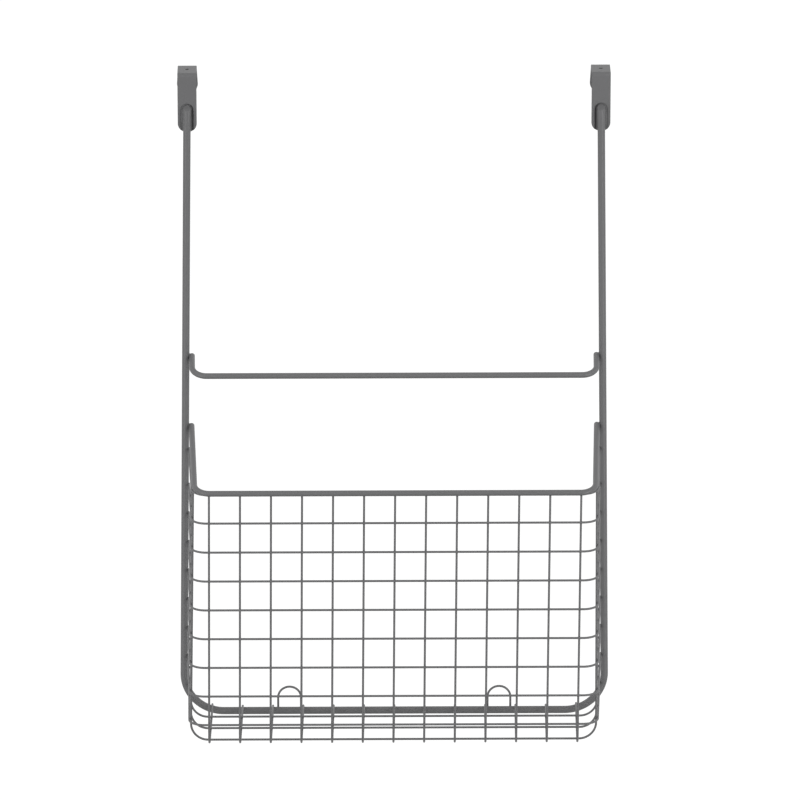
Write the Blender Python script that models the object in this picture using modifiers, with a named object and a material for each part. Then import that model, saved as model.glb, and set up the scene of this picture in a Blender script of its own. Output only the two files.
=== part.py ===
"""An organizer that hangs over the top of a cabinet door: two hooks, a rod frame, a towel bar and a
wire basket. Units are metres. The door's front face is the plane y = 0 and its top edge is z = 0,
x runs to the right for someone facing the door, and the basket stands out towards -y."""

import math

import bmesh
import bpy
from mathutils import Matrix, Vector

MM = 0.001

# The gap that welded pieces keep here, where the weld would close it.
WELD_GAP = 0.3 * MM

# Rod and wire diameters.
FRAME_DIAMETER = 5.4 * MM
BAR_DIAMETER = 4.2 * MM
WIRE_DIAMETER = 1.45 * MM

# Hooks, bent from strip.
DOOR_GAP = 19.5 * MM
STRIP_THICKNESS = 1.5 * MM
STRIP_WIDTH = 14.1 * MM
HOOK_INNER_BEND = 1.0 * MM
HOOK_FRONT_LENGTH = 44.0 * MM
HOOK_LIP_LENGTH = 20.5 * MM
HOOK_LIP_FLARE = 0.7 * MM
HOOK_HOLE_DIAMETER = 2.8 * MM
SEAT_WIDTH = 9.7 * MM
SEAT_DEPTH = 0.5 * MM
SEAT_TOP_Z = -21.6 * MM

# Frame: the legs spread a little from the hooks down to the bar.
FRAME_Y = -(STRIP_THICKNESS - SEAT_DEPTH + WELD_GAP + FRAME_DIAMETER / 2)
FRAME_TOP_Z = -22.6 * MM
FRAME_TOP_HALF = 153.1 * MM
FRAME_BAR_Z = -504.0 * MM
FRAME_BAR_HALF = 159.8 * MM
FRAME_CORNER = 30.0 * MM
FRAME_END_DROP = 3.5 * MM

# Towel bar: its arms slope down from the legs.
TOWEL_BACK_Z = -218.3 * MM
TOWEL_ARM_LENGTH = 25.0 * MM
TOWEL_SLOPE = math.radians(18)
TOWEL_CORNER = 11.0 * MM

# Basket: a square grid on one pitch. Its front is a little wider at the bottom than at the top.
GRID_PITCH = 23.0 * MM
FRONT_WIRES = 13
BAND_WIRES = 8
CRADLE_WIRES = 3
BASKET_DEPTH = 84.0 * MM
BASKET_TOP_HALF = 151.6 * MM
BASKET_LOW_HALF = 153.2 * MM
LOWEST_BAND_Z = FRAME_BAR_Z + 22.8 * MM
RIM_BACK_Z = -273.8 * MM
RIM_FRONT_Z = LOWEST_BAND_Z + BAND_WIRES * GRID_PITCH
RIM_FRONT_HALF = 148.6 * MM
RIM_CORNER = 11.5 * MM
FIRST_CRADLE_DEPTH = 26.0 * MM
FRONT_WIRE_BEND = 13.5 * MM
BAND_CORNER = 11.5 * MM
CRADLE_CORNER = 13.0 * MM

# The wire that runs below the rim: it starts at the legs and crosses the front tucked in behind the
# rim's front bar, a little below it.
RIM_WIRE_BACK_Z = -291.8 * MM
RIM_WIRE_FRONT_HALF = 151.9 * MM
RIM_WIRE_DROP = 3.0 * MM

# A cradle wire's flat end keeps a wider gap under the sloped arm, and lies no further out than this
# from under the arm's centre line.
CRADLE_TOP_GAP = 2 * WELD_GAP
CRADLE_TOP_OFFSET = 1.3 * MM

# How far behind the first cradle wire the outermost front wires start to rise.
OUTER_WIRE_STEP = 5.8 * MM

# Rest loops behind the bottom bar.
LOOP_CENTRE_X = 79.5 * MM
LOOP_HALF_WIDTH = 8.65 * MM
LOOP_TOP_Z = -486.0 * MM
LOOP_END_Z = FRAME_BAR_Z - 1.0 * MM

# How far a rod or wire runs past the centre of the rod that it's welded to.
END_OVERRUN = 0.8 * MM

# How finely the rods, wires, bends and holes are faceted.
ROD_SIDES_STEP = 4
WIRE_SIDES_STEP = 2
ARC_STEPS = 5
FRAME_ARC_STEPS = 8
ARCH_STEPS = 8
HOOK_BEND_STEPS = 4
HOLE_SIDES = 16
SHARP_ANGLE = math.radians(40)
MERGE_DISTANCE = 0.01 * MM

# Degrees round the hook's rounded ends, from a short straight tip to the strip's side.
HOOK_END_ANGLES = (12, 30, 45, 60, 75, 90)

# Half the thickness of the block that cuts the seat.
SEAT_CUTTER_HALF = 2.0 * MM

COAT_COLOUR = (0.135, 0.135, 0.138, 1.0)
COAT_ROUGHNESS = 0.48

# The layers of wire at the basket's bottom and front, from the frame outwards.
FRONT_WIRE_Y = FRAME_Y - BASKET_DEPTH
BOTTOM_WIRE_Z = FRAME_BAR_Z + (FRAME_DIAMETER + WIRE_DIAMETER) / 2 + WELD_GAP
LAYER_STEP = WIRE_DIAMETER + WELD_GAP
CRADLE_Z = BOTTOM_WIRE_Z + LAYER_STEP
BAND_Y = FRONT_WIRE_Y - LAYER_STEP


def clear_scene():
    for thing in list(bpy.data.objects):
        bpy.data.objects.remove(thing, do_unlink=True)


def new_collection(name):
    collection = bpy.data.collections.new(name)
    bpy.context.scene.collection.children.link(collection)
    return collection


def powder_coat(name):
    """Satin grey powder coat on steel."""
    material = bpy.data.materials.new(name)
    material.use_nodes = True
    shader = material.node_tree.nodes["Principled BSDF"]
    shader.inputs["Base Color"].default_value = COAT_COLOUR
    shader.inputs["Roughness"].default_value = COAT_ROUGHNESS
    shader.inputs["Metallic"].default_value = 0.0
    material.diffuse_color = COAT_COLOUR
    return material


def rounded_route(corners, radius, steps=ARC_STEPS):
    """The points of a bent rod through the corners, with each inner corner turned into an arc."""
    route = [Vector(corners[0])]
    for before, corner, after in zip(corners, corners[1:], corners[2:]):
        corner = Vector(corner)
        back = (Vector(before) - corner).normalized()
        ahead = (Vector(after) - corner).normalized()
        half_turn = (math.pi - back.angle(ahead)) / 2
        bisector = (back + ahead).normalized()
        centre = corner + bisector * (radius / math.cos(half_turn))
        start = corner + back * (radius * math.tan(half_turn)) - centre
        axis = back.cross(ahead)
        for step in range(steps + 1):
            turn = Matrix.Rotation(-2 * half_turn * step / steps, 3, axis)
            route.append(centre + turn @ start)
    route.append(Vector(corners[-1]))
    return route


def rod(name, route, diameter, collection):
    """A round rod along the route, with closed ends."""
    curve = bpy.data.curves.new(name, "CURVE")
    curve.dimensions = "3D"
    spline = curve.splines.new("POLY")
    spline.points.add(len(route) - 1)
    for point, place in zip(spline.points, route):
        point.co = (*place, 1.0)
    curve.bevel_depth = diameter / 2
    curve.bevel_resolution = WIRE_SIDES_STEP if diameter == WIRE_DIAMETER else ROD_SIDES_STEP
    curve.use_fill_caps = True
    thing = bpy.data.objects.new(name, curve)
    collection.objects.link(thing)
    curve.materials.append(powder_coat(name + "_coat"))
    return thing


def as_mesh(curve_object):
    """The curve object made into a mesh with its caps welded, so that it can be cut."""
    graph = bpy.context.evaluated_depsgraph_get()
    graph.update()
    mesh = bpy.data.meshes.new_from_object(curve_object.evaluated_get(graph))
    edit = bmesh.new()
    edit.from_mesh(mesh)
    bmesh.ops.remove_doubles(edit, verts=edit.verts, dist=MERGE_DISTANCE)
    edit.to_mesh(mesh)
    edit.free()
    name = curve_object.name
    collection = curve_object.users_collection[0]
    place = curve_object.matrix_world.copy()
    bpy.data.objects.remove(curve_object, do_unlink=True)
    thing = bpy.data.objects.new(name, mesh)
    thing.matrix_world = place
    collection.objects.link(thing)
    return thing


def cut(thing, cutter, cutters):
    """Takes the cutter's shape away from the thing."""
    for collection in list(cutter.users_collection):
        collection.objects.unlink(cutter)
    cutters.objects.link(cutter)
    cutter.hide_render = True
    cutter.display_type = "WIRE"
    boolean = thing.modifiers.new("cut_" + cutter.name, "BOOLEAN")
    boolean.operation = "DIFFERENCE"
    boolean.solver = "EXACT"
    boolean.object = cutter


def leg_half(z):
    """Half the distance between the frame's legs at height z, above the corners."""
    share = (FRAME_TOP_Z - z) / (FRAME_TOP_Z - FRAME_BAR_Z)
    return FRAME_TOP_HALF + (FRAME_BAR_HALF - FRAME_TOP_HALF) * share


def corner_centre_x():
    """The x of the centre of the bend between the right leg and the bottom bar."""
    lean = math.atan2(FRAME_BAR_HALF - FRAME_TOP_HALF, FRAME_TOP_Z - FRAME_BAR_Z)
    return leg_half(FRAME_BAR_Z + FRAME_CORNER) - FRAME_CORNER / math.cos(lean)


def beside_leg(z, diameter):
    """The x of a rod's centre line where it lies against the inner side of a leg at height z."""
    inward = FRAME_DIAMETER / 2 + WELD_GAP + diameter / 2
    into_corner = FRAME_BAR_Z + FRAME_CORNER - z
    if into_corner <= 0:
        return leg_half(z) - inward
    return corner_centre_x() + math.sqrt((FRAME_CORNER - inward) ** 2 - into_corner**2)


def bar_rise(x):
    """How much higher the frame's bottom bar is at x than in its middle."""
    into_corner = abs(x) - corner_centre_x()
    if into_corner <= 0:
        return 0.0
    return FRAME_CORNER - math.sqrt(FRAME_CORNER**2 - into_corner**2)


def front_half(z):
    """Half the basket's width at its front at height z."""
    share = (RIM_FRONT_Z - z) / (RIM_FRONT_Z - LOWEST_BAND_Z)
    return BASKET_TOP_HALF + (BASKET_LOW_HALF - BASKET_TOP_HALF) * share


def side_x(y, z):
    """The x of the right side's band wires at depth y and height z: they draw in towards the front."""
    back_x = beside_leg(z, WIRE_DIAMETER)
    share = (FRAME_Y - y) / (FRAME_Y - BAND_Y)
    return back_x + (front_half(z) - back_x) * share


def rim_arm(y):
    """The x and the height of the right rim arm's centre line at depth y."""
    back_x = beside_leg(RIM_BACK_Z, BAR_DIAMETER)
    share = (FRAME_Y - y) / BASKET_DEPTH
    return back_x + (RIM_FRONT_HALF - back_x) * share, RIM_BACK_Z + (RIM_FRONT_Z - RIM_BACK_Z) * share


def hook_rows():
    """The hook strip's rows from its front end to the end of its lip: y, z and half width."""
    middle = STRIP_THICKNESS / 2
    half = STRIP_WIDTH / 2
    lip_half = half + HOOK_LIP_FLARE
    lip_y = DOOR_GAP + middle
    bend = HOOK_INNER_BEND + middle
    end_angles = [math.radians(angle) for angle in HOOK_END_ANGLES]
    bend_angles = [math.pi / 2 * step / HOOK_BEND_STEPS for step in range(HOOK_BEND_STEPS + 1)]
    rows = []
    for angle in end_angles:
        rows.append((-middle, -HOOK_FRONT_LENGTH + half * (1 - math.cos(angle)), half * math.sin(angle)))
    for angle in bend_angles:
        y = HOOK_INNER_BEND - bend * math.cos(angle)
        z = -HOOK_INNER_BEND + bend * math.sin(angle)
        rows.append((y, z, half))
    for angle in reversed(bend_angles):
        y = DOOR_GAP - HOOK_INNER_BEND + bend * math.cos(angle)
        z = -HOOK_INNER_BEND + bend * math.sin(angle)
        rows.append((y, z, half))
    for angle in reversed(end_angles):
        z = -HOOK_LIP_LENGTH + lip_half * (1 - math.cos(angle))
        rows.append((lip_y, z, lip_half * math.sin(angle)))
    return rows


def hook(name, centre_x, parts, cutters):
    """A strip bent over the door's top: a flat grid laid along the bent profile, then thickened."""
    rows = hook_rows()
    columns = (-1.0, 0.0, 1.0)
    edit = bmesh.new()
    bmesh.ops.create_grid(edit, x_segments=len(columns) - 1, y_segments=len(rows) - 1, size=1.0)
    for vertex in edit.verts:
        y, z, half = rows[round((vertex.co.y + 1) / 2 * (len(rows) - 1))]
        vertex.co = (centre_x + vertex.co.x * half, y, z)
    bmesh.ops.recalc_face_normals(edit, faces=edit.faces)
    mesh = bpy.data.meshes.new(name)
    edit.to_mesh(mesh)
    edit.free()
    thing = bpy.data.objects.new(name, mesh)
    parts.objects.link(thing)
    mesh.materials.append(powder_coat(name + "_coat"))
    solidify = thing.modifiers.new("strip_thickness", "SOLIDIFY")
    solidify.thickness = STRIP_THICKNESS
    solidify.offset = 0.0
    solidify.use_even_offset = True
    cut(thing, hole_cutter(name + "_hole", centre_x), cutters)
    cut(thing, seat_cutter(name + "_seat", centre_x, cutters), cutters)
    mesh.shade_smooth()
    mesh.set_sharp_from_angle(angle=SHARP_ANGLE)
    return thing


def hole_cutter(name, centre_x):
    bpy.ops.mesh.primitive_cylinder_add(
        vertices=HOLE_SIDES,
        radius=HOOK_HOLE_DIAMETER / 2,
        depth=4 * STRIP_THICKNESS,
        location=(centre_x, DOOR_GAP / 2, STRIP_THICKNESS / 2),
    )
    cutter = bpy.context.object
    cutter.name = name
    return cutter


def seat_cutter(name, centre_x, cutters):
    """An arch-topped shallow recess in the hook's front, in which the rod's end lies."""
    half = SEAT_WIDTH / 2
    low = -HOOK_FRONT_LENGTH - half
    outline = [(-half, low), (half, low)]
    for step in range(ARCH_STEPS + 1):
        angle = math.pi * step / ARCH_STEPS
        outline.append((half * math.cos(angle), SEAT_TOP_Z - half + half * math.sin(angle)))
    curve = bpy.data.curves.new(name, "CURVE")
    curve.dimensions = "2D"
    curve.fill_mode = "BOTH"
    spline = curve.splines.new("POLY")
    spline.points.add(len(outline) - 1)
    for point, place in zip(spline.points, outline):
        point.co = (*place, 0.0, 1.0)
    spline.use_cyclic_u = True
    curve.extrude = SEAT_CUTTER_HALF
    thing = bpy.data.objects.new(name, curve)
    recess_y = -STRIP_THICKNESS + SEAT_DEPTH
    place = Matrix.Translation((centre_x, recess_y - SEAT_CUTTER_HALF, 0))
    thing.matrix_world = place @ Matrix.Rotation(math.pi / 2, 4, "X")
    cutters.objects.link(thing)
    return as_mesh(thing)


def frame_rod(parts, cutters):
    """Both legs and the bottom bar in one rod, with each top end cut off at a slope."""
    corners = [
        (-FRAME_TOP_HALF, FRAME_Y, FRAME_TOP_Z),
        (-FRAME_BAR_HALF, FRAME_Y, FRAME_BAR_Z),
        (FRAME_BAR_HALF, FRAME_Y, FRAME_BAR_Z),
        (FRAME_TOP_HALF, FRAME_Y, FRAME_TOP_Z),
    ]
    curve = rod("frame_rod", rounded_route(corners, FRAME_CORNER, FRAME_ARC_STEPS), FRAME_DIAMETER, parts)
    frame = as_mesh(curve)
    slope = math.atan2(FRAME_END_DROP, FRAME_DIAMETER)
    size = 4 * FRAME_DIAMETER
    for side, word in ((-1, "left"), (1, "right")):
        bpy.ops.mesh.primitive_cube_add(size=size)
        cutter = bpy.context.object
        cutter.name = "frame_end_cut_" + word
        edge = Vector((side * FRAME_TOP_HALF, FRAME_Y, FRAME_TOP_Z - FRAME_END_DROP / 2))
        tilt = Matrix.Rotation(slope, 4, "X")
        cutter.matrix_world = Matrix.Translation(edge) @ tilt @ Matrix.Translation((0, 0, size / 2))
        cut(frame, cutter, cutters)
    frame.data.shade_smooth()
    frame.data.set_sharp_from_angle(angle=SHARP_ANGLE)
    return frame


def towel_bar(parts):
    x = beside_leg(TOWEL_BACK_Z, BAR_DIAMETER)
    ahead = Vector((0, -math.cos(TOWEL_SLOPE), -math.sin(TOWEL_SLOPE)))
    corners = []
    for side in (-1, 1):
        back = Vector((side * x, FRAME_Y, TOWEL_BACK_Z))
        arm = [back - ahead * END_OVERRUN, back + ahead * TOWEL_ARM_LENGTH]
        corners += arm if side < 0 else reversed(arm)
    return rod("towel_bar", rounded_route(corners, TOWEL_CORNER), BAR_DIAMETER, parts)


def basket_rim(parts):
    x = beside_leg(RIM_BACK_Z, BAR_DIAMETER)
    corners = []
    for side in (-1, 1):
        back = Vector((side * x, FRAME_Y, RIM_BACK_Z))
        front = Vector((side * RIM_FRONT_HALF, FRONT_WIRE_Y, RIM_FRONT_Z))
        ahead = (front - back).normalized()
        arm = [back - ahead * END_OVERRUN, front]
        corners += arm if side < 0 else reversed(arm)
    return rod("basket_rim", rounded_route(corners, RIM_CORNER), BAR_DIAMETER, parts)


def front_wire(name, x, parts):
    """Down the front, round the lower edge and back along the bottom onto the frame's bar."""
    top_z = RIM_FRONT_Z - BAR_DIAMETER / 2 - WELD_GAP
    end_y = FRAME_Y + END_OVERRUN
    end_z = BOTTOM_WIRE_Z + bar_rise(x)
    corners = [(x, FRONT_WIRE_Y, top_z), (x, FRONT_WIRE_Y, BOTTOM_WIRE_Z)]
    if end_z == BOTTOM_WIRE_Z:
        route = rounded_route(corners + [(x, end_y, end_z)], FRONT_WIRE_BEND)
        return rod(name, route, WIRE_DIAMETER, parts)
    # The outermost wires step up onto the bar where it already rises into its corner.
    step_y = FRAME_Y - FIRST_CRADLE_DEPTH + OUTER_WIRE_STEP
    route = rounded_route(corners + [(x, step_y, BOTTOM_WIRE_Z)], FRONT_WIRE_BEND)
    route += [Vector((x, FRAME_Y - FRAME_DIAMETER, end_z)), Vector((x, end_y, end_z))]
    return rod(name, route, WIRE_DIAMETER, parts)


def band_wire(name, z, parts):
    """From one leg forward along the side, across the front and back to the other leg."""
    corners = []
    for side in (-1, 1):
        back = (side * beside_leg(z, WIRE_DIAMETER), FRAME_Y + END_OVERRUN, z)
        front = (side * front_half(z), BAND_Y, z)
        corners += [back, front] if side < 0 else [front, back]
    return rod(name, rounded_route(corners, BAND_CORNER), WIRE_DIAMETER, parts)


def rim_wire(parts):
    """From one leg forward under the rim's arm, across behind the front bar and back."""
    back_x = beside_leg(RIM_WIRE_BACK_Z, WIRE_DIAMETER)
    front_z = RIM_FRONT_Z - RIM_WIRE_DROP
    corners = []
    for side in (-1, 1):
        back = (side * back_x, FRAME_Y + END_OVERRUN, RIM_WIRE_BACK_Z)
        front = (side * RIM_WIRE_FRONT_HALF, FRONT_WIRE_Y + LAYER_STEP, front_z)
        corners += [back, front] if side < 0 else [front, back]
    return rod("rim_wire", rounded_route(corners, BAND_CORNER), WIRE_DIAMETER, parts)


def cradle_wire(name, depth, parts):
    """Down one side from under the rim's arm, across the bottom and up the other side."""
    y = FRAME_Y - depth
    arm_slope = math.atan2(RIM_BACK_Z - RIM_FRONT_Z, BASKET_DEPTH)
    arm_x, arm_z = rim_arm(y)
    top_z = arm_z - BAR_DIAMETER / 2 / math.cos(arm_slope) - CRADLE_TOP_GAP
    corners = []
    for side in (-1, 1):
        top = (side * min(side_x(y, top_z) - LAYER_STEP, arm_x + CRADLE_TOP_OFFSET), y, top_z)
        low = (side * (side_x(y, LOWEST_BAND_Z) - LAYER_STEP), y, CRADLE_Z)
        corners += [top, low] if side < 0 else [low, top]
    return rod(name, rounded_route(corners, CRADLE_CORNER), WIRE_DIAMETER, parts)


def rest_loop(name, centre_x, parts):
    """A small hoop of wire behind the bottom bar."""
    y = FRAME_Y + (FRAME_DIAMETER + WIRE_DIAMETER) / 2 + WELD_GAP
    arch_z = LOOP_TOP_Z - LOOP_HALF_WIDTH
    route = [Vector((centre_x - LOOP_HALF_WIDTH, y, LOOP_END_Z))]
    for step in range(ARCH_STEPS + 1):
        angle = math.pi * (1 - step / ARCH_STEPS)
        x = centre_x + LOOP_HALF_WIDTH * math.cos(angle)
        route.append(Vector((x, y, arch_z + LOOP_HALF_WIDTH * math.sin(angle))))
    route.append(Vector((centre_x + LOOP_HALF_WIDTH, y, LOOP_END_Z)))
    return rod(name, route, WIRE_DIAMETER, parts)


def main():
    clear_scene()
    parts = new_collection("cabinet_door_organizer")
    cutters = new_collection("cutters")
    for side, word in ((-1, "left"), (1, "right")):
        hook("hook_" + word, side * leg_half(-HOOK_FRONT_LENGTH / 2), parts, cutters)
        rest_loop("rest_loop_" + word, side * LOOP_CENTRE_X, parts)
    frame_rod(parts, cutters)
    towel_bar(parts)
    basket_rim(parts)
    rim_wire(parts)
    for number in range(FRONT_WIRES):
        x = (number - (FRONT_WIRES - 1) / 2) * GRID_PITCH
        front_wire(f"front_wire_{number + 1:02d}", x, parts)
    for number in range(BAND_WIRES):
        band_wire(f"band_wire_{number + 1}", LOWEST_BAND_Z + number * GRID_PITCH, parts)
    for number in range(CRADLE_WIRES):
        cradle_wire(f"cradle_wire_{number + 1}", FIRST_CRADLE_DEPTH + number * GRID_PITCH, parts)


main()
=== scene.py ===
"""Looks for the cabinet door organizer: powder-coated steel rods, a welded wire grid and stamped
hooks, under soft studio light. Units are metres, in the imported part's own frame: the door's front
face is y = 0, its top edge is z = 0, and the basket stands out towards -y."""

import math

import bmesh
import bpy
import numpy as np
from mathutils import Matrix, Vector


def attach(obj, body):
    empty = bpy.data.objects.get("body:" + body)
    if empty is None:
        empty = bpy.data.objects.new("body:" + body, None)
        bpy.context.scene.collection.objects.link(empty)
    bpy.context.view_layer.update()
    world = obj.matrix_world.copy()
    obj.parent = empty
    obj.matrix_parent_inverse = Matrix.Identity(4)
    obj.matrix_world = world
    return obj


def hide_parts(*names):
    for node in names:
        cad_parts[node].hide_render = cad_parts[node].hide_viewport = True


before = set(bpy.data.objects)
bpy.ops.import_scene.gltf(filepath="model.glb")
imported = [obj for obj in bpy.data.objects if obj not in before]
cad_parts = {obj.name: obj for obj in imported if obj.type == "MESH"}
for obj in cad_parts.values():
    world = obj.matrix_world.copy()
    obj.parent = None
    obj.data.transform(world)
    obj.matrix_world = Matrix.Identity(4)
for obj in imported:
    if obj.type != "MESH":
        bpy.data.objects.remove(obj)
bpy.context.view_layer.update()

MM = 0.001
RIGHT_ANGLE = math.pi / 2

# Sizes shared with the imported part, except that the frame's bar lies 0.1 mm and its legs up to 0.15 mm
# closer to the middle than in the part, so that the coated rods stay inside its box.
WELD_GAP = 0.3 * MM
FRAME_DIAMETER = 5.4 * MM
BAR_DIAMETER = 4.2 * MM
WIRE_DIAMETER = 1.45 * MM
DOOR_GAP = 19.5 * MM
STRIP_THICKNESS = 1.5 * MM
STRIP_WIDTH = 14.1 * MM
HOOK_INNER_BEND = 1.0 * MM
HOOK_FRONT_LENGTH = 44.0 * MM
HOOK_LIP_LENGTH = 20.5 * MM
HOOK_LIP_FLARE = 0.7 * MM
HOOK_HOLE_DIAMETER = 2.8 * MM
SEAT_WIDTH = 9.7 * MM
SEAT_DEPTH = 0.5 * MM
SEAT_TOP_Z = -21.6 * MM
FRAME_Y = -(STRIP_THICKNESS - SEAT_DEPTH + WELD_GAP + FRAME_DIAMETER / 2)
FRAME_TOP_Z = -22.6 * MM
FRAME_TOP_HALF = 153.1 * MM
FRAME_BAR_Z = -503.9 * MM
FRAME_BAR_HALF = 159.65 * MM
FRAME_CORNER = 30.0 * MM
FRAME_END_DROP = 3.5 * MM
TOWEL_BACK_Z = -218.3 * MM
TOWEL_ARM_LENGTH = 25.0 * MM
TOWEL_SLOPE = math.radians(18)
TOWEL_CORNER = 11.0 * MM
GRID_PITCH = 23.0 * MM
FRONT_WIRES = 13
BAND_WIRES = 8
CRADLE_WIRES = 3
BASKET_DEPTH = 84.0 * MM
BASKET_TOP_HALF = 151.6 * MM
BASKET_LOW_HALF = 153.2 * MM
LOWEST_BAND_Z = FRAME_BAR_Z + 22.7 * MM
RIM_BACK_Z = -273.8 * MM
RIM_FRONT_Z = LOWEST_BAND_Z + BAND_WIRES * GRID_PITCH
RIM_FRONT_HALF = 148.6 * MM
RIM_CORNER = 11.5 * MM
FIRST_CRADLE_DEPTH = 26.0 * MM
FRONT_WIRE_BEND = 13.5 * MM
BAND_CORNER = 11.5 * MM
CRADLE_CORNER = 13.0 * MM
RIM_WIRE_BACK_Z = -291.8 * MM
CRADLE_TOP_GAP = 2 * WELD_GAP
CRADLE_TOP_OFFSET = 1.3 * MM
OUTER_WIRE_STEP = 5.8 * MM
LOOP_CENTRE_X = 79.5 * MM
LOOP_HALF_WIDTH = 8.65 * MM
LOOP_TOP_Z = -486.0 * MM
LOOP_END_Z = FRAME_BAR_Z - 1.0 * MM
END_OVERRUN = 0.8 * MM
FRONT_WIRE_Y = FRAME_Y - BASKET_DEPTH
BOTTOM_WIRE_Z = FRAME_BAR_Z + (FRAME_DIAMETER + WIRE_DIAMETER) / 2 + WELD_GAP
LAYER_STEP = WIRE_DIAMETER + WELD_GAP
CRADLE_Z = BOTTOM_WIRE_Z + LAYER_STEP

# The coat on the rods and wires, which the part's solids don't have.
COAT_THICKNESS = 0.1 * MM

# The band wires lie this much further back than the part's, to stay inside its box with their coat.
BAND_INSET = 0.15 * MM
BAND_Y = FRONT_WIRE_Y - LAYER_STEP + BAND_INSET

# The cradle wires are pressed into the band wires at the sides, as welded wires are.
WIRE_PRESS = 0.6 * MM
CRADLE_STEP = LAYER_STEP - WIRE_PRESS

# The basket's wires: the front wires stand along x, the band wires along z, the cradle wires along y.
FRONT_XS = (np.arange(FRONT_WIRES) - (FRONT_WIRES - 1) / 2) * GRID_PITCH
BAND_ZS = LOWEST_BAND_Z + np.arange(BAND_WIRES) * GRID_PITCH
CRADLE_YS = FRAME_Y - FIRST_CRADLE_DEPTH - np.arange(CRADLE_WIRES) * GRID_PITCH

# How finely the smooth pieces are drawn.
ROD_SIDES = 32
WIRE_SIDES = 16
BEND_STEP = 1.0 * MM
FEWEST_BEND_STEPS = 4
STRAIGHT_STEP = 12.0 * MM
CAP_RINGS = 5
CAP_EDGE_SHARE = 0.25
BEAD_RINGS = 6
BEAD_SIDES = 10
ARCH_STEPS = 24

# A slanted direction that no rod follows, from which the circles across a rod are started.
SLANT = (0.31, 0.17, 0.93)

# Weld beads: half lengths across a wire crossing, at a wire's end on a rod, and where rods meet. At the
# top of each leg one long bead lies between the rod and the hook's seat, and one beside the rod.
CROSSING_REACH = 0.95 * MM
CROSSING_LAP = 0.55 * MM
ROD_WELD_REACH = 1.9 * MM
ROD_WELD_LAP = 0.9 * MM
BAR_END_REACH = 1.15 * MM
SEAT_WELD_DROP = 2.0 * MM
SEAT_WELD_REACH = (1.1 * MM, 0.85 * MM, 7.0 * MM)
SIDE_WELD_OFFSET = 2.9 * MM
SIDE_WELD_REACH = (1.6 * MM, 0.95 * MM, 8.5 * MM)
SIDE_WELD_RISE = 1.8 * MM
SIDE_WELD_STAND = SIDE_WELD_REACH[1] / 3

# Where the real welds pull the pieces out of the part's plain layout: how far the ends of the bars'
# arms and of the band wires sink into the legs, how much further the basket's sides draw in at its
# front, at its top and at its bottom, and where the wire below the rim meets the rim's front bar.
ARM_SINK = 0.5 * MM
BAND_SINK = 1.0 * MM
TOP_DRAW = 1.1 * MM
LOW_DRAW = 0.4 * MM
RIM_WIRE_WELDED_HALF = 150.6 * MM
RIM_WIRE_WELDED_DROP = 1.7 * MM

# How far the basket's lower front edge hangs to the left.
RACK = 1.4 * MM

# The hook's sheared edges, eased by the coat.
EDGE_RADIUS = 0.35 * MM
EDGE_ANGLES = np.radians((0, 22.5, 45, 67.5, 90))

# The walls and depths of the hook's coined seat, towards the side of the frame and towards its middle.
SEAT_WALL = 0.4 * MM
SEAT_INNER_WALL = 1.3 * MM
SEAT_OUTER_DEPTH = 0.35 * MM
SEAT_INNER_DEPTH = 1.2 * MM

# The grid that a hook is drawn on: the numbers of its rows along the strip, the distance of its rows
# over the seat, its columns across the strip, and the half width in cells of the patch round the hole.
# The first row of a rounded end stands a few degrees round its half circle.
FIRST_TIP_ANGLE = math.radians(3)
TIP_ROWS = 30
TIP_ANGLES = np.linspace(FIRST_TIP_ANGLE, RIGHT_ANGLE, TIP_ROWS)
BEND_ROWS = 8
BEND_ANGLES = np.linspace(0, RIGHT_ANGLE, BEND_ROWS + 1)[1:]
HOOK_ROW = 0.24 * MM
PLATE_ROWS = 9
TOP_ROWS = 8
LIP_ROWS = 11
HOLE_CELLS = 11
HOOK_COLUMNS_HALF = 30
HOOK_COLUMN = (STRIP_WIDTH / 2 - EDGE_RADIUS) / HOOK_COLUMNS_HALF

# Camera: a long lens that looks down on the front from a little to the left. The target is a place in
# the part's frame, between the legs, and it falls on the target pixel.
CAMERA_DISTANCE = 6.0
CAMERA_ELEVATION = math.radians(19.68)
CAMERA_AZIMUTH = math.radians(0.52)
TARGET = np.array((0.0, -0.030, -0.250))
PIXELS_PER_METRE = 1341.0
PICTURE_SIDE = 800
TARGET_PIXEL = (394.51, 406.83)
SENSOR_WIDTH_MM = 36.0
FARTHEST_SEEN = 100.0

# The coat: a grey powder coat, and the same coat in the weld beads, where it lies rougher and darker.
COAT_COLOUR = (0.135, 0.135, 0.138)
# The weld beads' darker colour is partly their thinner coat and partly painted shade for the crevices
# round the welds.
WELD_THIN_COAT_AND_SHADE_COLOUR = (0.120, 0.120, 0.123)
COAT_ROUGHNESS = 0.46
WELD_ROUGHNESS = 0.56
COAT_IOR = 1.5

# The coat's pattern: the scales of its three noises, their shares in the colour, how far the colour
# swings, how the noises shift the roughness, and how high the bumps stand on rods and on wires.
DRIFT_SCALE = 22.0
PEEL_SCALE = 900.0
GRAIN_SCALE = 4200.0
DRIFT_SHARE = 0.4
PEEL_SHARE = 0.25
GRAIN_SHARE = 0.35
COLOUR_SWING = 0.16
ROUGHNESS_SHIFT = -0.08
DRIFT_ROUGHNESS = 0.1
GRAIN_ROUGHNESS = 0.06
GRAIN_HEIGHT = 0.3
BUMP_STRENGTH = 0.35
ROD_PEEL = 0.05 * MM
WIRE_PEEL = 0.012 * MM

# The floor, far below the object and wide enough to reach past the picture on every side.
FLOOR_Z = -0.9
FLOOR_HALF = 12.0
FLOOR_ROUGHNESS = 0.9

# Light: two gridded softboxes outside the picture, a sky that shows darker overhead in reflections, and
# a floor that gives back little light although it is seen as white.
BOX_PLACE = (0.62, -0.62, -0.2)
BOX_SIZE = (0.3, 1.1)
BOX_SPREAD = math.radians(80)
LEFT_WATTS = 0.58
RIGHT_WATTS = 0.71
SKY_AMBIENT = 0.78
SKY_OVERHEAD = 0.4
SKY_FALL = 0.9
FLOOR_SHADE = 0.12
FLOOR_GLOW = 0.93


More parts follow.
